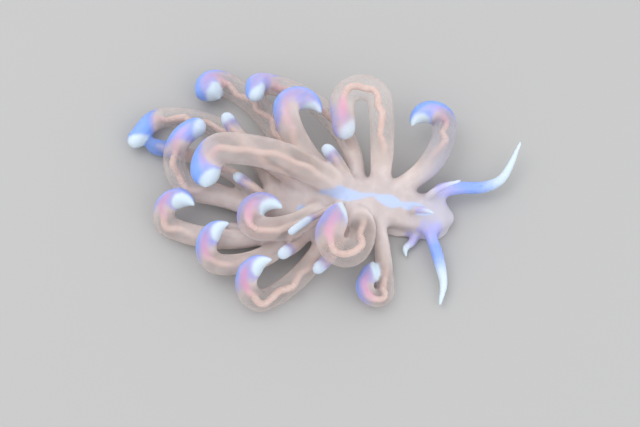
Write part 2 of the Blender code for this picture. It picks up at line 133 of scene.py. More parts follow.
# Cerata whose ends the skin shapes more finely than the solids: one is rolled up, and the others narrow.
# lean: how far the point lies towards the outside of the curl, 1 on its very edge. reach: length of the
# narrowing, as a share of the radius. The other values take the place of the ceras's own
Claw = namedtuple("Claw", "lean reach bend_x bend_y hook curl end tip")
CLAWS = {
    "left_1": Claw(0.65, 1.7, 15.6, 12.5, 193, 1.7, 0, 4.2),
    "left_5": Claw(0.75, 1.8, -4.75, 12.9, -198, 1.75, 0, 6.2),
    "left_6": Claw(0.0, 1.1, -12.3, 7.2, 95, 2.3, 2.3, 6.4),
    "left_8": Claw(-0.7, 1.0, -13.2, 20.0, 140, 1.3, 1.7, 2.4),
    "right_1": Claw(0.3, 1.7, 7.8, -9.1, -208, 1.35, 2.9, 2.4),
    "right_2": Claw(0.3, 1.8, 4.13, -5.8, -178, 1.85, 3.9, 8.3),
    "right_4": Claw(0.95, 1.4, -7.2, -10.6, -248, 1.6, 0, 5.6),
    "right_6": Claw(0.95, 1.4, -7.9, -2.8, -248, 1.55, 0, 6.5),
    "right_8": Claw(0.95, 1.4, -13.0, -6.3, -203, 1.7, 0, 5.7),
    "right_9": Claw(0.95, 1.2, -19.3, -0.7, -246, 1.5, 0, 4.6),
}

# Feelers, as in the solids but for the left tentacle's fuller root. points: centre line from the root to
# the tip. girths: spread evenly along it
RHINOPHORE_GIRTHS = [1.3, 1.2, 1.0, 0.55]
FOOT_CORNER_GIRTHS = [1.4, 1.25, 1.0, 0.6]
Feeler = namedtuple("Feeler", "name kind girths points")
FEELERS = [
    Feeler("tentacle_left", "tentacle", [2.5, 2.3, 1.9, 1.7, 1.4, 1.1, 0.6],
           [(13.6, 2.2, 2.4), (15.0, 3.9, 2.4), (17.3, 4.4, 2.2), (20.4, 4.7, 1.8), (22.6, 5.7, 1.8),
            (23.9, 7.6, 2.0), (25.3, 10.6, 2.6)]),
    Feeler("tentacle_right", "tentacle", [2.1, 1.9, 1.75, 1.6, 1.2, 0.6],
           [(13.3, 0.2, 2.0), (13.5, -1.9, 2.0), (14.2, -4.2, 1.7), (14.7, -6.3, 1.4), (15.0, -8.4, 1.1),
            (14.5, -11.0, 0.9)]),
    Feeler("rhinophore_left", "rhinophore", RHINOPHORE_GIRTHS,
           [(12.6, 1.8, 3.0), (13.5, 2.5, 4.3), (15.2, 3.3, 5.0), (17.2, 4.0, 5.2)]),
    Feeler("rhinophore_right", "rhinophore", RHINOPHORE_GIRTHS,
           [(10.8, 0.6, 3.4), (11.6, 0.1, 4.9), (12.6, -0.6, 6.2), (13.6, -1.3, 7.0)]),
    Feeler("foot_corner_left", "corner", FOOT_CORNER_GIRTHS,
           [(12.6, 2.0, 0.75), (12.2, 3.7, 0.75), (11.2, 4.6, 0.7), (10.2, 4.8, 0.6)]),
    Feeler("foot_corner_right", "corner", FOOT_CORNER_GIRTHS,
           [(12.2, -0.6, 0.75), (11.2, -2.5, 0.75), (10.3, -3.3, 0.7), (10.5, -4.3, 0.6)]),
]

# Skin
VOXEL = 0.24
INSET = 0.05                   # the skin lies this much inside the solids
TUBE_SIDES = 32
TUBE_SPACING = 0.25
CERAS_STEPS = 6                # steps of the smooth centre line between two points of the path
FEELER_STEPS = 8
NOSE_ANGLES = [15, 30, 45, 60, 75]
NOSE = 0.15                    # length of the last, round bit of a ceras
CLAW_GIRTH = 0.95              # girth of a claw before it narrows, as a share of the full girth
ROLLED = ("left_8",)           # the ceras whose end is rolled up into a bulb
ROLLED_GIRTH = 1.12            # its girth, as a share of the full girth
THICKER = {"right_2": 1.1}     # cerata with more girth than in the solids, times that girth
SMOOTHING = 0.5                # share of the way to its neighbours' mean that a point goes each round
SMOOTH_ROUNDS = 4              # for the whole skin
FILLET_ROUNDS = 30             # where a root leaves the body
FILLET = 0.75                  # reach of the soft fillet there
FILLET_RADII = (0.3, 0.9)      # radii of a limb between which that sets in
SLEEK_ROUNDS = 10              # along thick limbs
SLEEK_RADII = (0.5, 1.0)       # radii of a limb between which that sets in
BODY_RADIUS = 0.65             # radius that counts for points of no limb, which are smoothed a little
MARK_ROUNDS = 3                # for the markings
LIMB_REACH = 1.0               # how near to a limb the skin may belong to it
FAR = 9.0                      # distance that counts where no limb is near
BATCH = 20000                  # points handled at once

# Markings. A range holds the value where a marking begins to blend in, and the value where it is full.
# The place in the coloured zone is 0 where the violet-blue end of a ceras begins and 1 at its very end
COLOURED_END = 6.0             # length of the violet-blue end of a ceras
COLOUR_REACH = {"left_3": 1.3, "left_5": 1.5}   # cerata where it is longer, times that length
WHITE_END = 1.9                # length of the white end
WHITE_RANGE = (0.4, 1.1)       # shares of that length between which it fades out
WHITE_LEAN = 1.1               # how much shorter it is on the outside of the curl, and longer inside
LAVENDER_RANGE = (-0.1, 0.35)  # places in the coloured zone, on the outside of the curl
LAVENDER_LAG = (0.4, 0.3)      # how much further out those places are on the inside of the curl
RIM_RANGE = (0.1, 0.9)         # how far to the outside of the curl the blue grows strong
BLUE_INSIDE = 0.45             # how blue the rest of the curl is
ROSE_AMOUNT = 0.75
ROSE_CORE = (0.05, 0.45)       # how far to either side of the curl the rosy core fades out
ROSE_START = (0.0, 0.25)       # places in the coloured zone where it fades in and out
ROSE_STOP = (0.5, 0.7)
CLOUD_RANGE = (-0.1, 0.5)      # places in the coloured zone where the clear wall grows cloudy
CLOUD_CORE = 0.6               # how cloudy it is there
CLOUD_SIDES = 0.3              # how much more on the outside and inside of the curl
WALL_SOLID = 0.2               # how much the clear wall of a ceras hides
UNDER_CLEAR_PAINTED_LIGHT = 0.15             # how much clearer it is on its underside, painted light that lets less of the shade on its downward faces show
UNDER_RANGE = (-0.2, 0.5)      # of how far a place faces down, 1 for straight down
CLEAR_RANGE = (0.3, 5.0)       # distances from the body between which the wall clears
MARK_REACH = 0.8               # how far out from a limb its markings reach
LEAST_OFFSET = 0.01            # distances are divided by no less than this

# Young, straight cerata
YOUNG_WHITE = 0.75             # how white the end is
YOUNG_WHITE_LENGTH = 1.7       # its length, as a share of the ceras's radius
YOUNG_WHITE_FADE = (-0.35, 0.5)     # from and to where it fades out, beyond that length
STREAKS = ("right_5",)         # the one that is white along most of its length
STREAK_LENGTH = 3.6
YOUNG_BLUE = 0.4               # how blue the stalk is behind the white end
YOUNG_BLUE_LENGTH = 2.5
BLUE_YOUNG = ("left_12",)      # the one with a deep blue end
BLUE_YOUNG_RANGE = (2.0, 5.5)  # distances from the end between which that fades out
YOUNG_CLEAR = 0.6              # how clear the wall grows
YOUNG_CLEAR_RANGE = (0.3, 2.5)      # distances from the body between which it clears

# Feelers: how blue and white they turn, and between which shares of their length
FeelerTint = namedtuple("FeelerTint", "blue blue_range white white_range")
FEELER_COLOURS = {
    "tentacle": FeelerTint(0.85, (-0.1, 0.4), 0.9, (0.3, 0.75)),
    "rhinophore": FeelerTint(0.35, (0.2, 0.6), 0.7, (0.4, 1.0)),
    "corner": FeelerTint(0.35, (0.0, 0.4), 1.0, (0.35, 0.9)),
}

# How blue, rosy and white the end of a ceras is, where that isn't 1, and how milky its wall is
BLUENESS = {"left_1": 1.6, "left_2": 0.4, "left_5": 0.9, "left_6": 1.5, "left_10": 3.0, "left_11": 1.5,
            "right_1": 0.8, "right_2": 0.65, "right_6": 0.6}
ROSINESS = {"left_1": 0.3, "left_3": 0.3, "left_5": 0.4, "left_6": 0.2, "left_8": 0.6, "left_10": 0,
            "left_11": 0.6, "right_4": 1.25}
MILKINESS = {"left_5": 0.25, "left_6": 0.15}
WHITENESS = {"left_2": 0.7, "left_5": 0.8, "left_11": 0.7, "left_12": 0.25}

# Body
SHAFT_TONE_AND_PAINTED_LIGHT_RANGE = (0.0, 2.5)       # distances from it between which its colour turns to the paler one of the shafts, partly their own tone and partly painted light that lifts the shade among the cerata near the body
COOL_RANGE = (1.5, 6.0)        # distances behind the snout between which the bluish head fades out

# Patches along the midline of the back: two ends in plan, half the width, and where it is widest
LOZENGES = [((-3.6, 0.4), (-2.0, 1.0), 0.6, 0.5), ((-2.4, 2.5), (6.2, 2.1), 1.0, 0.62),
            ((4.2, 2.45), (7.4, 2.4), 0.3, 0.5), ((5.4, 2.5), (10.8, 1.05), 1.0, 0.55),
            ((9.4, 1.45), (14.6, -0.05), 1.0, 0.4)]
LOZENGE_POINTS = 1.4           # 1 for patches with round ends, more for pointed ones
LOZENGE_EDGE = 0.35            # width of their soft edge, as a share of half the width
LOZENGE_HEIGHTS = (2.6, 3.2)   # heights between which they blend in
LOZENGE_DEPTHS = (0.8, 2.2)    # distances from the body between which they fade out

# Glands
SEED = 11
GLAND_GIRTH = 0.88
GLAND_KNOT_SPACING = 1.9       # distance between the bends of the duct
GLAND_KNOT_SHIFTS = (-0.3, 0.3)     # least and most shift of a bend, as a share of that
GLAND_WANDER = 0.5             # how far the duct strays from the middle of its ceras
GLAND_STRAYS = (0.2, 1.0)      # least and most share of that to either side, by turns
GLAND_RISES = (-0.6, 0.6)      # least and most share of it upwards
GLAND_SWELLS = (0.85, 1.15)    # least and most girth at a bend, times the girth
GLAND_ROOM = 0.6               # share of its girth that the duct's middle keeps from the wall
GLAND_WIDEST = 1.25            # girth at most, as a share of the ceras's radius
GLAND_TIP = (-0.1, 0.35)       # places in the coloured zone between which the duct changes
GLAND_TIP_CALM = 0.7           # how much less it strays there
GLAND_TIP_SWELL = 0.55         # how much thicker it is there
GLAND_POINT = (0.5, 0.8)       # places in the coloured zone between which it narrows
GLAND_POINT_SLIM = 0.6         # how much it narrows
GLAND_END = 0.8                # place in the coloured zone where it ends
YOUNG_GLAND_END = 1.6          # distance from the end of a young ceras where it ends
GLAND_EASING = 2               # rounds of easing its corners
GLAND_SIDES = 14
GLAND_SPACING = 0.16


# Shapes

def smooth_through(rows, steps):
    """Rows of a smooth curve that passes through the given rows."""
    rows = np.asarray(rows, float)
    padded = np.vstack([2 * rows[0] - rows[1], rows, 2 * rows[-1] - rows[-2]])
    curve = []
    for i in range(len(rows) - 1):
        a, b, c, d = padded[i:i + 4]
        for k in range(steps):
            t = k / steps
            curve.append(0.5 * (2 * b + (c - a) * t + (2 * a - 5 * b + 4 * c - d) * t ** 2
                                + (3 * b - a - 3 * c + d) * t ** 3))
    curve.append(rows[-1])
    return np.array(curve)


def lengths_along(points):
    """Distance along a line of points, at each point."""
    return np.concatenate([[0], np.cumsum(np.linalg.norm(np.diff(points, axis=0), axis=1))])


def rows_at(places, along, rows):
    """Rows at places on a line, from the rows at distances along it."""
    return np.array([np.interp(places, along, column) for column in rows.T]).T


def smooth_step(value, low, high):
    """0 below low, 1 above high, and an even blend between."""
    share = np.clip((np.asarray(value, float) - low) / (high - low), 0, 1)
    return share * share * (3 - 2 * share)


SPINE = smooth_through(STATIONS, SPINE_STEPS)
SPINE_BACK = lengths_along(SPINE[:, :2])
SPINE_LENGTH = SPINE_BACK[-1]


def body_at(back):
    """Midline x, y, half width and top, at a distance behind the snout, and the plan direction forward."""
    ahead = rows_at(back - HEADING_REACH, SPINE_BACK, SPINE[:, :2])
    behind = rows_at(back + HEADING_REACH, SPINE_BACK, SPINE[:, :2])
    return rows_at(back, SPINE_BACK, SPINE), (ahead - behind) / np.linalg.norm(ahead - behind)


def widest_height(top):
    """Height at which the body is widest."""
    return 0.5 * (BODY_FLOOR + top)


def beside(x, y, forward, out, ahead=0.0):
    """Plan x and y of the place that lies out to the left of a point of the midline, and ahead of it."""
    return x - forward[1] * out + forward[0] * ahead, y + forward[0] * out + forward[1] * ahead


def flank_point(back, side, height):
    """A point of the body's surface, on its left (side 1) or right (side -1)."""
    (x, y, half_width, top), forward = body_at(back)
    angle = math.radians(90 * height)
    middle = widest_height(top)
    out = side * half_width * math.cos(angle)
    return np.array([*beside(x, y, forward, out), middle + (top - middle) * math.sin(angle)])


def arc_points(start, heading, turn, length, steps):
    """Plan points along an arc that starts at a heading and turns evenly."""
    points = [np.array(start, float)]
    for k in range(steps):
        angle = heading + turn * (k + 0.5) / steps
        points.append(points[-1] + length / steps * np.array([math.cos(angle), math.sin(angle)]))
    return points


def ceras_path(c, side):
    """Centre line of a ceras, from its place on the flank to its end."""
    root = flank_point(c.back, side, c.height)
    across = np.array([c.bend_x, c.bend_y]) - root[:2]
    chord = np.linalg.norm(across)
    chord_heading = math.atan2(across[1], across[0])
    aim = chord_heading if c.aim is None else math.radians(c.aim)
    half_turn = (aim - chord_heading + math.pi) % (2 * math.pi) - math.pi
    length = chord / np.sinc(half_turn / math.pi)
    plan = arc_points(root[:2], chord_heading - half_turn, 2 * half_turn, length, SHAFT_STEPS)
    points = []
    for k, (x, y) in enumerate(plan):
        rise = math.sin(math.pi / 2 * (k / SHAFT_STEPS) ** c.lift)
        points.append((x, y, root[2] + (c.crown - root[2]) * rise))
    if c.hook:
        hook = math.radians(c.hook)
        curl = arc_points(plan[-1], aim, hook, c.curl * abs(hook), HOOK_STEPS)[1:]
        if c.end:
            curl.append(curl[-1] + c.end * np.array([math.cos(aim + hook), math.sin(aim + hook)]))
        for k, (x, y) in enumerate(curl):
            share = (k + 1) / len(curl)
            points.append((x, y, c.crown + (c.tip - c.crown) * share ** 2 * (3 - 2 * share)))
    return np.array(points)


def ceras_girths(c, points):
    """Girth of a ceras along its centre line: a slim root, a full shaft and a blunt end."""
    share = lengths_along(points)
    share = share / share[-1]
    full_from, growth = (FULL_FROM, GROWTH) if c.hook else (YOUNG_FULL_FROM, YOUNG_GROWTH)
    grow = ROOT_SHARE + (1 - ROOT_SHARE) * np.minimum(1, share / full_from) ** growth
    if not c.hook:
        return c.girth * grow
    shrink = 1 - (1 - c.blunt) * np.maximum(0, (share - SLIM_FROM) / (1 - SLIM_FROM)) ** 2
    girths = c.girth * grow * shrink
    if c.curl:
        girths[SHAFT_STEPS:] = np.minimum(girths[SHAFT_STEPS:], CURL_FILL * c.curl)
    return girths


def sunk_root(points, girths, back):
    """Adds a point inside the body, so that the root starts well under the surface."""
    (x, y, _, top), _ = body_at(back)
    inward = np.array([x, y, widest_height(top)]) - points[0]
    inward *= min(1.0, ROOT_SUNK / np.linalg.norm(inward))
    return np.vstack([points[0] + inward, points]), np.concatenate([[girths[0]], girths])


def resample(points, values, spacing):
    """A centre line and the values that belong to it, at even steps."""
    along = lengths_along(points)
    places = np.linspace(0, along[-1], round(along[-1] / spacing) + 1)
    return rows_at(places, along, points), np.interp(places, along, values)


def tube_frames(points):
    """Direction, sideways and upward axes at each point of a centre line, without twist."""
    tangents = np.gradient(points, axis=0)
    tangents /= np.linalg.norm(tangents, axis=1)[:, None]
    side_way = np.cross(tangents[0], [0, 0, 1])
    sides = []
    for tangent in tangents:
        side_way = side_way - tangent * (side_way @ tangent)
        side_way = side_way / np.linalg.norm(side_way)
        sides.append(side_way)
    sides = np.array(sides)
    return tangents, sides, np.cross(sides, tangents)


def lofted(rings, pole=None):
    """Points and faces of a closed surface from rings of equal counts, with a flat far end or a pole."""
    rings = np.asarray(rings, float)
    count, sides, _ = rings.shape
    verts = rings.reshape(-1, 3)
    faces = []
    for r in range(count - 1):
        for s in range(sides):
            t = (s + 1) % sides
            faces.append([r * sides + t, r * sides + s, (r + 1) * sides + s, (r + 1) * sides + t])
    faces.append(list(range(sides)))
    last = (count - 1) * sides
    if pole is None:
        faces.append(list(range(last + sides - 1, last - 1, -1)))
    else:
        verts = np.vstack([verts, pole])
        faces.extend([[last + (s + 1) % sides, last + s, len(verts) - 1] for s in range(sides)])
    return verts, faces


def tube(points, radii, sides, nose, guide=None):
    """A round tube along a centre line, with a nose of a given length at its far end, kept above the floor.

    Its rings stand square to the guide line, or to the centre line where there is none.
    """
    tangents, side_ways, up_ways = tube_frames(points if guide is None else guide)
    angles = 2 * math.pi * (np.arange(sides) + 0.5) / sides
    centres = list(points)
    sizes = list(radii)
    rows = list(range(len(points)))
    for angle in NOSE_ANGLES:
        centres.append(points[-1] + tangents[-1] * nose * math.sin(math.radians(angle)))
        sizes.append(radii[-1] * math.cos(math.radians(angle)))
        rows.append(len(points) - 1)
    rings = []
    for centre, radius, row in zip(centres, sizes, rows):
        spokes = np.cos(angles)[:, None] * side_ways[row] + np.sin(angles)[:, None] * up_ways[row]
        ring = centre + radius * spokes
        ring[:, 2] = np.maximum(ring[:, 2], 0)
        rings.append(ring)
    pole = points[-1] + tangents[-1] * nose
    return lofted(rings, pole)


def body_ring(back, size=1.0, ahead=0.0):
    """Cross-section of the body: domed above, and reaching down into the foot."""
    (x, y, half_width, top), forward = body_at(back)
    middle = widest_height(top)
    floor = 0.5 * FOOT_THICKNESS
    angles = 2 * math.pi * np.arange(BODY_SIDES) / BODY_SIDES
    out = (half_width - INSET) * size * np.cos(angles)
    rise = np.sin(angles)
    above = middle + (top - INSET - middle) * size * rise
    below = middle - (middle - floor) * np.sqrt(np.abs(rise))
    return np.array([*beside(x, y, forward, out, ahead), np.where(rise >= 0, above, below)]).T


def ring_places():
    """Distances behind the snout of the rings of the body and foot."""
    return np.linspace(0, SPINE_LENGTH, round(SPINE_LENGTH / RING_SPACING))


def body_shape():
    """The whole body, from the rounded snout to the tail."""
    snout = [body_ring(0, size, ahead) for ahead, size in SNOUT_ROUNDING]
    return lofted(snout + [body_ring(back) for back in ring_places()])


def foot_shape():
    """The sole, with its wavy edge."""
    rings = []
    for back in ring_places():
        (x, y, half_width, _), forward = body_at(back)
        wave = FOOT_EDGE_WAVE * math.sin(2 * math.pi * back / FOOT_WAVE_LENGTH)
        half = half_width + FOOT_OVERHANG + wave * min(1, half_width / FOOT_WAVE_FULL)
        left = [(half - inset, z) for inset, z in FOOT_EDGE]
        right = [(-out, z) for out, z in reversed(left)]
        rings.append([(*beside(x, y, forward, out), z) for out, z in left + right])
    return lofted(rings)


# Limbs: every tube of the animal, with what its markings need

# guide: the line that its rings stand square to. line: its centre line. nose: length of its round end. At
# each point of the line, share: of the length, rest: distance from the end, way: direction, and outward:
# direction away from the middle of the curl
Limb = namedtuple("Limb", "name kind guide line radii nose share rest way outward")


def hook_sides(c, way):
    """Plan direction away from the middle of the curl, at each point of a ceras."""
    left = np.array([-way[:, 1], way[:, 0], np.zeros(len(way))]).T
    return left * (-1 if c.hook > 0 else 1)


def reshaped(name, c):
    """A ceras with what the skin changes of it."""
    c = c._replace(girth=c.girth * THICKER.get(name, 1))
    if name in CLAWS:
        claw = CLAWS[name]._asdict()
        own = {field: value for field, value in claw.items() if field in Ceras._fields}
        c = c._replace(**own, blunt=ROLLED_GIRTH if name in ROLLED else CLAW_GIRTH)
    return c


def ceras_limb(name, c, side):
    """The fine centre line of a ceras. A claw narrows mainly on the inner side of its curl."""
    claw = CLAWS.get(name)
    c = reshaped(name, c)
    points = ceras_path(c, side)
    girths = ceras_girths(c, points)
    points, girths = sunk_root(points, girths, c.back)
    sunk = lengths_along(points)[1]
    blunt = 0.5 * girths[-1] - INSET
    if not claw:
        end_way = (points[-1] - points[-2]) / np.linalg.norm(points[-1] - points[-2])
        points = np.vstack([points, points[-1] + end_way * (blunt - NOSE)])
        girths = np.append(girths, girths[-1])
    curve = smooth_through(np.column_stack([points, girths]), CERAS_STEPS)
    line, girths = resample(curve[:, :3], curve[:, 3], TUBE_SPACING)
    along = lengths_along(line)
    share = np.clip((along - sunk) / (along[-1] - sunk), 0, 1)
    rest = along[-1] - along + NOSE
    full = 0.5 * girths - INSET
    reach = claw.reach * blunt if claw else blunt
    roundness = 1 - (1 - np.minimum(rest / reach, 1)) ** 2
    radii = full * (roundness if claw else np.sqrt(roundness))
    way, _, _ = tube_frames(line)
    outward = hook_sides(c, way)
    lean = claw.lean * (full - radii) if claw else np.zeros(len(line))
    kind = "ceras" if c.hook else "young"
    return Limb(name, kind, line, line + outward * lean[:, None], radii, NOSE, share, rest, way, outward)


def feeler_limb(name, kind, girths, points):
    """The fine centre line of a feeler."""
    curve = smooth_through(points, FEELER_STEPS)
    widths = np.interp(np.linspace(0, 1, len(curve)), np.linspace(0, 1, len(girths)), girths)
    line, widths = resample(curve, widths, TUBE_SPACING)
    share = np.linspace(0, 1, len(line))
    radii = 0.5 * widths - INSET
    rest = lengths_along(line)[::-1] + radii[-1]
    way, _, _ = tube_frames(line)
    return Limb(name, kind, line, line, radii, radii[-1], share, rest, way, np.zeros_like(line))


def all_limbs():
    """Every ceras and feeler of the animal."""
    limbs = []
    for side, label, cerata in ((1, "left", LEFT_CERATA), (-1, "right", RIGHT_CERATA)):
        for number, c in enumerate(cerata, 1):
            limbs.append(ceras_limb(f"{label}_{number}", c, side))
    return limbs + [feeler_limb(*feeler) for feeler in FEELERS]


# Meshes

def merged(shapes):
    """One list of points and one of faces from several closed surfaces."""
    verts = []
    faces = []
    for points, polygons in shapes:
        first = sum(len(part) for part in verts)
        verts.append(points)
        faces.extend([[first + v for v in polygon] for polygon in polygons])
    return np.vstack(verts), faces


def new_object(name, verts, faces):
    """A new mesh object, shaded smooth."""
    mesh = bpy.data.meshes.new(name)
    mesh.from_pydata(np.asarray(verts).tolist(), [], faces)
    mesh.shade_smooth()
    thing = bpy.data.objects.new(name, mesh)
    bpy.context.scene.collection.objects.link(thing)
    return thing


def mesh_rows(items, field, width, kind=float):
    """A field of a mesh's points or edges, with a row of numbers for each."""
    values = np.empty(len(items) * width, kind)
    items.foreach_get(field, values)
    return values.reshape(-1, width)


def set_measure(mesh, name, values):
    """Stores one number for each point of a mesh, for its material to read."""
    layer = mesh.attributes.new(name, "FLOAT", "POINT")
    layer.data.foreach_set("value", np.asarray(values, np.float32))


def smoothed(points, edges, rounds, weight=1.0):
    """Rows of numbers, one for each point, drawn towards the mean of their neighbours."""
    ends = np.concatenate([edges[:, 0], edges[:, 1]])
    others = np.concatenate([edges[:, 1], edges[:, 0]])
    counts = np.bincount(ends, minlength=len(points))[:, None]
    weight = SMOOTHING * np.broadcast_to(weight, len(points))[:, None]
    for _ in range(rounds):
        columns = [np.bincount(ends, points[others, k], len(points)) for k in range(points.shape[1])]
        sums = np.array(columns).T
        points = points + weight * (sums / counts - points)
    return points


def above_body(points):
    """About how far each point is from the body's surface, outwards, and its distance behind the snout."""
    depth = np.empty(len(points))
    back = np.empty(len(points))
    for first in range(0, len(points), BATCH):
        batch = slice(first, first + BATCH)
        part = points[batch]
        gaps = part[:, None, :2] - SPINE[None, :, :2]
        nearest = np.argmin((gaps ** 2).sum(axis=2), axis=1)
        x_y, half_width, top = SPINE[nearest, :2], SPINE[nearest, 2], SPINE[nearest, 3]
        middle = widest_height(top)
        across = np.linalg.norm(part[:, :2] - x_y, axis=1) / half_width
        up = np.maximum(part[:, 2] - middle, 0) / (top - middle)
        depth[batch] = (np.hypot(across, up) - 1) * np.minimum(half_width, top - middle)
        back[batch] = SPINE_BACK[nearest]
    return depth, back


def limb_facts(points, limbs):
    """For each point of the skin: its limb, the place along it, and how far out it is from that limb."""
    owner = np.full(len(points), -1)
    place = np.zeros(len(points), int)
    gap = np.full(len(points), FAR)
    for number, limb in enumerate(limbs):
        reach = limb.radii.max() + LIMB_REACH
        low = limb.line.min(axis=0) - reach
        high = limb.line.max(axis=0) + reach
        near = np.nonzero(np.all((points > low) & (points < high), axis=1))[0]
        away = np.linalg.norm(points[near, None] - limb.line[None], axis=2) - limb.radii[None]
        best = np.argmin(away, axis=1)
        value = away[np.arange(len(near)), best]
        closer = value < gap[near]
        chosen = near[closer]
        gap[chosen] = value[closer]
        owner[chosen] = number
        place[chosen] = best[closer]
    return owner, place, gap


def lozenge_mask(points):
    """How much each point belongs to a pale patch of the midline."""
    mask = np.zeros(len(points))
    for start, stop, half_width, widest in LOZENGES:
        start = np.array(start)
        way = np.array(stop) - start
        length = np.linalg.norm(way)
        way = way / length
        offset = points[:, :2] - start
        along = (offset @ way) / length
        across = np.abs(offset @ np.array([-way[1], way[0]])) / half_width
        eased = np.clip(along, 0, 1) ** (math.log(0.5) / math.log(widest))
        fullness = np.sin(math.pi * eased) ** LOZENGE_POINTS
        mask = np.maximum(mask, smooth_step(fullness - across, 0.0, LOZENGE_EDGE))
    return mask * smooth_step(points[:, 2], *LOZENGE_HEIGHTS)


def coloured_zone(limb, rest):
    """Place in the coloured zone: 1 at the end of a ceras, 0 where it begins, and less before that."""
    return 1 - rest / (COLOURED_END * COLOUR_REACH.get(limb.name, 1))


def ceras_marks(limb, rest, outer, under, free):
    """Solid, blue, white and rosy measures of the points of one long ceras.

    outer is 1 on the outside of the curl and -1 on its inside, under is 1 on the underside, and free grows
    from 0 to 1 away from the body.
    """
    zone = coloured_zone(limb, rest)
    side = np.abs(outer)
    inner = 0.5 * (1 - outer)
    blueness = BLUENESS.get(limb.name, 1)
    fade = [share * WHITE_END for share in WHITE_RANGE]
    white = (1 - smooth_step(rest + WHITE_LEAN * outer, *fade)) * WHITENESS.get(limb.name, 1)
    lavender_range = [place + lag * inner for place, lag in zip(LAVENDER_RANGE, LAVENDER_LAG)]
    lavender = smooth_step(zone, *lavender_range)
    strength = BLUE_INSIDE + (1 - BLUE_INSIDE) * smooth_step(outer, *RIM_RANGE)
    blue = np.minimum(1, lavender * strength * blueness)
    stretch = smooth_step(zone, *ROSE_START) * (1 - smooth_step(zone, *ROSE_STOP))
    rosy = ROSE_AMOUNT * (1 - smooth_step(side, *ROSE_CORE)) * stretch * ROSINESS.get(limb.name, 1)
    cloudy = smooth_step(zone, *CLOUD_RANGE) * np.minimum(1, (CLOUD_CORE + CLOUD_SIDES * side) * blueness)
    clear = free * (1 - cloudy) * (1 - white) * (1 - MILKINESS.get(limb.name, 0))
    # The clearer underside is painted light: less of the shade on the downward faces shows
    solid = 1 - (1 - WALL_SOLID + UNDER_CLEAR_PAINTED_LIGHT * under) * clear
    return solid, blue, white, rosy


def young_marks(limb, rest, free):
    """The same measures of a young, straight ceras: a lilac stalk and a white end."""
    length = STREAK_LENGTH if limb.name in STREAKS else YOUNG_WHITE_LENGTH * limb.radii.max()
    fade = [length + beyond for beyond in YOUNG_WHITE_FADE]
    white = YOUNG_WHITE * (1 - smooth_step(rest, *fade)) * WHITENESS.get(limb.name, 1)
    if limb.name in BLUE_YOUNG:
        blue = 1 - smooth_step(rest, *BLUE_YOUNG_RANGE)
    else:
        blue = YOUNG_BLUE * (1 - smooth_step(rest, length, length + YOUNG_BLUE_LENGTH))
    solid = 1 - YOUNG_CLEAR * free * (1 - white)
    return solid, blue, white, np.zeros(len(rest))


def feeler_marks(limb, share):
    """The same measures of a feeler, which turns from the body's colour to blue and white."""
    colours = FEELER_COLOURS[limb.kind]
    blue = colours.blue * smooth_step(share, *colours.blue_range)
    white = colours.white * smooth_step(share, *colours.white_range)
    return np.ones(len(share)), blue, white, np.zeros(len(share))


def limb_marks(limb, at, offset, depth):
    """The same measures of any limb, for points at an offset from places on its centre line."""
    rest = limb.rest[at] - (offset * limb.way[at]).sum(axis=1)
    if limb.kind == "ceras":
        radial = offset / np.maximum(np.linalg.norm(offset, axis=1), LEAST_OFFSET)[:, None]
        outer = (radial * limb.outward[at]).sum(axis=1)
        under = smooth_step(-radial[:, 2], *UNDER_RANGE)
        return ceras_marks(limb, rest, outer, under, smooth_step(depth, *CLEAR_RANGE))
    if limb.kind == "young":
        return young_marks(limb, rest, smooth_step(depth, *YOUNG_CLEAR_RANGE))
    return feeler_marks(limb, limb.share[at])


def mark_skin(mesh, points, edges, limbs):
    """Works out the skin's markings from where each point sits on the animal."""
    owner, place, gap = limb_facts(points, limbs)
    depth, back = above_body(points)
    marks = {"solid": np.ones(len(points))}
    for name in ("blue", "white", "rosy"):
        marks[name] = np.zeros(len(points))
    for number, limb in enumerate(limbs):
        mine = np.nonzero((owner == number) & (gap < MARK_REACH))[0]
        at = place[mine]
        values = limb_marks(limb, at, points[mine] - limb.line[at], depth[mine])
        for name, value in zip(("solid", "blue", "white", "rosy"), values):
            marks[name][mine] = value
    marks["lozenge"] = lozenge_mask(points) * (1 - smooth_step(depth, *LOZENGE_DEPTHS))
    # The shaft measure also carries painted light: it turns the skin to the paler shaft colour, which lifts
    # the shade among the cerata near the body
    marks["shaft"] = smooth_step(depth, *SHAFT_TONE_AND_PAINTED_LIGHT_RANGE)
    marks["cool"] = 1 - smooth_step(back, *COOL_RANGE)
    blended = smoothed(np.array(list(marks.values())).T, edges, MARK_ROUNDS)
    for name, value in zip(marks, blended.T):
        set_measure(mesh, name, value)


def fuse(skin):
    """Makes one closed skin of an object's separate shapes."""
    remesh = skin.modifiers.new("one skin", "REMESH")
    remesh.mode = "VOXEL"
    remesh.voxel_size = VOXEL
    remesh.adaptivity = 0
    graph = bpy.context.evaluated_depsgraph_get()
    skin.data = bpy.data.meshes.new_from_object(skin.evaluated_get(graph))
    skin.modifiers.clear()


def smooth_skin(points, edges, limbs):
    """The points of the skin with soft fillets where the roots leave the body, and sleek thick limbs."""
    points = smoothed(points, edges, SMOOTH_ROUNDS)
    depth, _ = above_body(points)
    owner, place, gap = limb_facts(points, limbs)
    radii = np.full(len(points), BODY_RADIUS)
    for number, limb in enumerate(limbs):
        mine = owner == number
        radii[mine] = limb.radii[place[mine]]
    near_root = np.exp(-(depth ** 2 + gap ** 2) / FILLET ** 2) * (points[:, 2] > FOOT_THICKNESS)
    points = smoothed(points, edges, FILLET_ROUNDS, near_root * smooth_step(radii, *FILLET_RADII))
    points = smoothed(points, edges, SLEEK_ROUNDS, smooth_step(radii, *SLEEK_RADII))
    points[:, 2] = np.maximum(points[:, 2], 0)
    return points


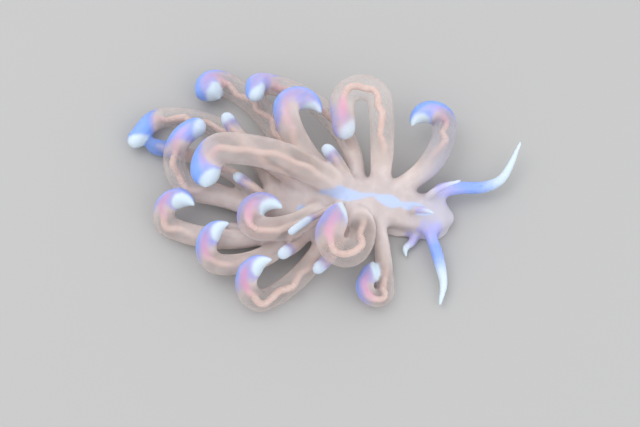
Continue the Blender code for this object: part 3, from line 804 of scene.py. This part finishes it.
def skin_piece(limbs):
    """One skin over the whole animal."""
    limb_shapes = [tube(limb.line, limb.radii, TUBE_SIDES, limb.nose, limb.guide) for limb in limbs]
    skin = new_object("slug_skin", *merged([body_shape(), foot_shape()] + limb_shapes))
    fuse(skin)
    mesh = skin.data
    mesh.name = "slug_skin"
    edges = mesh_rows(mesh.edges, "vertices", 2, int)
    points = smooth_skin(mesh_rows(mesh.vertices, "co", 3), edges, limbs)
    mark_skin(mesh, points, edges, limbs)
    placed = (points - MODEL_CENTRE) * MM
    mesh.vertices.foreach_set("co", placed.astype(np.float32).ravel())
    mesh.update()
    mesh.shade_smooth()
    return skin


def smooth_line(line, rounds):
    """A centre line with its corners eased."""
    for _ in range(rounds):
        line[1:-1] = 0.25 * line[:-2] + 0.5 * line[1:-1] + 0.25 * line[2:]
    return line


def gland_shape(limb, rng):
    """The knobby duct of a digestive gland, wandering inside its ceras."""
    along = lengths_along(limb.line)
    knots = np.arange(0, along[-1] + GLAND_KNOT_SPACING, GLAND_KNOT_SPACING)
    count = len(knots)
    turns = np.where(np.arange(count) % 2, 1, -1)
    knots = knots + rng.uniform(*GLAND_KNOT_SHIFTS, count) * GLAND_KNOT_SPACING
    stray = rng.uniform(*GLAND_STRAYS, count) * turns
    rise = rng.uniform(*GLAND_RISES, count)
    swell = rng.uniform(*GLAND_SWELLS, count)
    places = np.arange(0, along[-1], GLAND_SPACING)
    line = rows_at(places, along, limb.line)
    radii = np.interp(places, along, limb.radii)
    rest = np.interp(places, along, limb.rest)
    zone = coloured_zone(limb, rest)
    long_ceras = limb.kind == "ceras"
    in_tip = smooth_step(zone, *GLAND_TIP) if long_ceras else np.zeros(len(places))
    room = np.maximum(radii - GLAND_ROOM * GLAND_GIRTH, 0)
    wander = np.minimum(GLAND_WANDER, room) * (1 - GLAND_TIP_CALM * in_tip)
    _, side_ways, up_ways = tube_frames(line)
    line = line + side_ways * (wander * np.interp(places, knots, stray))[:, None]
    line = line + up_ways * (wander * np.interp(places, knots, rise))[:, None]
    line = smooth_line(line, GLAND_EASING)
    girth = GLAND_GIRTH * np.interp(places, knots, swell) * (1 + GLAND_TIP_SWELL * in_tip)
    girth = np.minimum(girth, GLAND_WIDEST * radii)
    if long_ceras:
        girth = girth * (1 - GLAND_POINT_SLIM * smooth_step(zone, *GLAND_POINT))
    keep = zone < GLAND_END if long_ceras else rest > YOUNG_GLAND_END
    radii = 0.5 * girth[keep]
    return tube(line[keep], radii, GLAND_SIDES, radii[-1]), zone[keep]


def gland_pieces(limbs):
    """The glands of all the cerata, one piece for each."""
    rng = np.random.default_rng(SEED)
    pieces = []
    for limb in limbs:
        if limb.kind not in ("ceras", "young"):
            continue
        (verts, faces), zone = gland_shape(limb, rng)
        piece = new_object("gland_" + limb.name, (verts - MODEL_CENTRE) * MM, faces)
        rings = np.repeat(zone, GLAND_SIDES)
        values = np.concatenate([rings, np.full(len(verts) - len(rings), zone[-1])])
        set_measure(piece.data, "zone", values if limb.kind == "ceras" else values - 1)
        pieces.append(piece)
    return pieces


# Materials

RELIEF = 0.5                   # strength of the fine relief
RIM_POWER = 1.7                # how much the rim of the clear skin, as seen, keeps to its very edge
RIM_AMOUNT = 0.5               # how much that rim hides

# Sockets of a node that mixes colours
MIX_FACTOR = 0
MIX_FIRST = 6
MIX_SECOND = 7
MIX_RESULT = 2

Colour = namedtuple("Colour", "red green blue")
BODY = Colour(0.56, 0.475, 0.455)
BODY_MOTTLE = Colour(0.64, 0.555, 0.535)
# Shafts paler than the body: partly their own tone, partly painted light that lifts the shade among the
# cerata near the body
SHAFT_TONE_AND_PAINTED_LIGHT = Colour(0.71, 0.60, 0.55)
SHAFT_MOTTLE_AND_PAINTED_LIGHT = Colour(0.79, 0.69, 0.645)
HEAD = Colour(0.55, 0.52, 0.58)
LAVENDER = Colour(0.45, 0.44, 0.79)
SKY_BLUE = Colour(0.23, 0.39, 0.86)
TIP_WHITE = Colour(0.63, 0.73, 0.80)
ROSE = Colour(0.74, 0.38, 0.60)
LOZENGE = Colour(0.50, 0.585, 0.80)
GLAND = Colour(0.68, 0.47, 0.405)
GLAND_PALE = Colour(0.75, 0.58, 0.515)
GLAND_PINK = Colour(0.84, 0.44, 0.54)
GLAND_VIOLET = Colour(0.72, 0.42, 0.76)
FLOOR = Colour(0.45, 0.44, 0.425)
SURROUND = Colour(0.92, 0.95, 1.0)
WARM_LIGHT = Colour(1.0, 0.98, 0.95)
COOL_LIGHT = Colour(0.93, 0.96, 1.0)


def new_material(name):
    """A material with its node tree, and its shader."""
    material = bpy.data.materials.new(name)
    material.use_nodes = True
    return material, material.node_tree, material.node_tree.nodes["Principled BSDF"]


def measure(tree, name):
    """A number that a mesh stores for each point."""
    node = tree.nodes.new("ShaderNodeAttribute")
    node.attribute_name = name
    return node.outputs["Fac"]


def noise_at(tree, size, detail=2.0):
    """Noise with features of a size in millimetres."""
    place = tree.nodes.new("ShaderNodeTexCoord")
    node = tree.nodes.new("ShaderNodeTexNoise")
    node.inputs["Scale"].default_value = 1 / (size * MM)
    node.inputs["Detail"].default_value = detail
    tree.links.new(place.outputs["Object"], node.inputs["Vector"])
    return node.outputs["Fac"]


def math_node(tree, operation, first, second):
    """A sum of some kind on two values."""
    node = tree.nodes.new("ShaderNodeMath")
    node.operation = operation
    for socket, value in zip(node.inputs, (first, second)):
        if isinstance(value, (int, float)):
            socket.default_value = value
        else:
            tree.links.new(value, socket)
    return node.outputs[0]


def ranged(tree, value, low, high):
    """0 below low, 1 above high, and an even blend between."""
    node = tree.nodes.new("ShaderNodeMapRange")
    node.interpolation_type = "SMOOTHSTEP"
    node.inputs["From Min"].default_value = low
    node.inputs["From Max"].default_value = high
    tree.links.new(value, node.inputs["Value"])
    return node.outputs["Result"]


def mixed(tree, factor, first, second):
    """A blend of two colours."""
    node = tree.nodes.new("ShaderNodeMix")
    node.data_type = "RGBA"
    tree.links.new(factor, node.inputs[MIX_FACTOR])
    for socket, value in ((node.inputs[MIX_FIRST], first), (node.inputs[MIX_SECOND], second)):
        if isinstance(value, Colour):
            socket.default_value = (*value, 1)
        else:
            tree.links.new(value, socket)
    return node.outputs[MIX_RESULT]


def add_bump(tree, shader, height, distance):
    """Fine relief, with a depth in millimetres."""
    bump = tree.nodes.new("ShaderNodeBump")
    bump.inputs["Strength"].default_value = RELIEF
    bump.inputs["Distance"].default_value = distance * MM
    tree.links.new(height, bump.inputs["Height"])
    tree.links.new(bump.outputs["Normal"], shader.inputs["Normal"])


def uneven(tree, value, size, amount):
    """A measure with its edges made irregular, by noise that is 0.5 on average."""
    wobble = math_node(tree, "MULTIPLY", math_node(tree, "SUBTRACT", noise_at(tree, size), 0.5), amount)
    wobbly = math_node(tree, "ADD", value, wobble)
    return math_node(tree, "MULTIPLY", wobbly, ranged(tree, value, low=0.0, high=0.1))


def skin_colour(tree):
    """Body and shafts in their colours, the shafts paler partly by painted light that lifts the shade among
    them, under the markings from the lowest to the topmost.
    """
    mottle = ranged(tree, noise_at(tree, size=1.6, detail=3.0), low=0.35, high=0.75)
    body = mixed(tree, mottle, BODY, BODY_MOTTLE)
    # the paler shaft colour is partly painted light that lifts the shade among the cerata near the body
    shaft = mixed(tree, mottle, SHAFT_TONE_AND_PAINTED_LIGHT, SHAFT_MOTTLE_AND_PAINTED_LIGHT)
    colour = mixed(tree, measure(tree, "shaft"), body, shaft)
    colour = mixed(tree, measure(tree, "cool"), colour, HEAD)
    blue = uneven(tree, measure(tree, "blue"), size=0.8, amount=0.35)
    colour = mixed(tree, ranged(tree, blue, low=0.05, high=0.5), colour, LAVENDER)
    colour = mixed(tree, ranged(tree, blue, low=0.4, high=1.0), colour, SKY_BLUE)
    colour = mixed(tree, measure(tree, "rosy"), colour, ROSE)
    lozenge = uneven(tree, measure(tree, "lozenge"), size=0.6, amount=0.4)
    colour = mixed(tree, ranged(tree, lozenge, low=0.05, high=0.95), colour, LOZENGE)
    white = uneven(tree, measure(tree, "white"), size=0.6, amount=0.3)
    return mixed(tree, ranged(tree, white, low=0.1, high=0.9), colour, TIP_WHITE)


def skin_material():
    """Milky skin that clears along the cerata, with violet-blue, white and rosy markings."""
    material, tree, shader = new_material("slug_skin")
    tree.links.new(skin_colour(tree), shader.inputs["Base Color"])
    edge = tree.nodes.new("ShaderNodeLayerWeight")
    edge.inputs["Blend"].default_value = 0.5
    rim = math_node(tree, "POWER", edge.outputs["Facing"], RIM_POWER)
    veil = math_node(tree, "ADD", measure(tree, "solid"), math_node(tree, "MULTIPLY", rim, RIM_AMOUNT))
    tree.links.new(math_node(tree, "MINIMUM", veil, 1.0), shader.inputs["Alpha"])
    shader.inputs["Roughness"].default_value = 0.34
    shader.inputs["Subsurface Weight"].default_value = 0.4
    shader.inputs["Subsurface Radius"].default_value = (1.0, 0.7, 0.6)
    shader.inputs["Subsurface Scale"].default_value = 0.9 * MM
    add_bump(tree, shader, noise_at(tree, size=0.6), distance=0.02)
    return material


def gland_material():
    """Pinkish duct that turns rose and violet inside the tip."""
    material, tree, shader = new_material("gland")
    zone = measure(tree, "zone")
    grain = ranged(tree, noise_at(tree, size=0.5, detail=3.0), low=0.35, high=0.7)
    colour = mixed(tree, grain, GLAND, GLAND_PALE)
    colour = mixed(tree, ranged(tree, zone, low=-0.15, high=0.25), colour, GLAND_PINK)
    colour = mixed(tree, ranged(tree, zone, low=0.3, high=0.7), colour, GLAND_VIOLET)
    tree.links.new(colour, shader.inputs["Base Color"])
    shader.inputs["Roughness"].default_value = 0.6
    add_bump(tree, shader, noise_at(tree, size=0.25), distance=0.05)
    return material


def floor_material():
    """A plain pale floor."""
    material, _, shader = new_material("floor")
    shader.inputs["Base Color"].default_value = (*FLOOR, 1)
    shader.inputs["Roughness"].default_value = 0.9
    return material


# Stage. Its lengths are in metres

FLOOR_REACH = 1.5              # half the floor's width


def make_camera():
    """The photograph's view: from above, with the snout to the right."""
    data = bpy.data.cameras.new("camera")
    data.sensor_width = SENSOR_WIDTH
    data.lens = PIXELS_PER_MM * CAMERA_DISTANCE / IMAGE_WIDTH * SENSOR_WIDTH
    data.clip_start = 0.01
    camera = bpy.data.objects.new("camera", data)
    back = np.array([0, -math.cos(CAMERA_ELEVATION), math.sin(CAMERA_ELEVATION)])
    camera.location = (CAMERA_TARGET - MODEL_CENTRE + CAMERA_DISTANCE * back) * MM
    camera.rotation_euler = (math.pi / 2 - CAMERA_ELEVATION, 0, 0)
    bpy.context.scene.collection.objects.link(camera)
    bpy.context.scene.camera = camera


def make_light(name, place, size, power, colour):
    """A soft, square light that faces the slug."""
    data = bpy.data.lights.new(name, "AREA")
    data.size = size
    data.energy = power
    data.color = colour
    light = bpy.data.objects.new(name, data)
    light.location = place
    light.rotation_euler = (-Vector(place)).to_track_quat("-Z", "Y").to_euler()
    bpy.context.scene.collection.objects.link(light)


def make_floor():
    """A flat floor under the slug."""
    corners = [(-1, -1, 0), (1, -1, 0), (1, 1, 0), (-1, 1, 0)]
    floor = new_object("floor", FLOOR_REACH * np.array(corners), [[0, 1, 2, 3]])
    floor.data.materials.append(floor_material())


def make_surround():
    """A pale surround that lights the slug from all sides."""
    world = bpy.data.worlds.new("surround")
    world.use_nodes = True
    shader = world.node_tree.nodes["Background"]
    shader.inputs["Color"].default_value = (*SURROUND, 1)
    shader.inputs["Strength"].default_value = 1.12
    bpy.context.scene.world = world
    bpy.context.scene.view_settings.view_transform = "Standard"


def make_stage():
    """Camera, floor, lights and surround."""
    make_camera()
    make_floor()
    make_light("key", place=(-0.14, 0.08, 0.31), size=0.25, power=0.32, colour=WARM_LIGHT)
    make_light("fill", place=(0.22, -0.18, 0.22), size=0.28, power=0.24, colour=COOL_LIGHT)
    make_surround()


def main():
    """Builds the stage, the skin and the glands, and hides the solids they take the place of."""
    make_stage()
    limbs = all_limbs()
    skin = skin_piece(limbs)
    skin.data.materials.clear()
    skin.data.materials.append(skin_material())
    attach(skin, "root")
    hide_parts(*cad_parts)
    gland = gland_material()
    for piece in gland_pieces(limbs):
        piece.data.materials.append(gland)
        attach(piece, "root")


main()
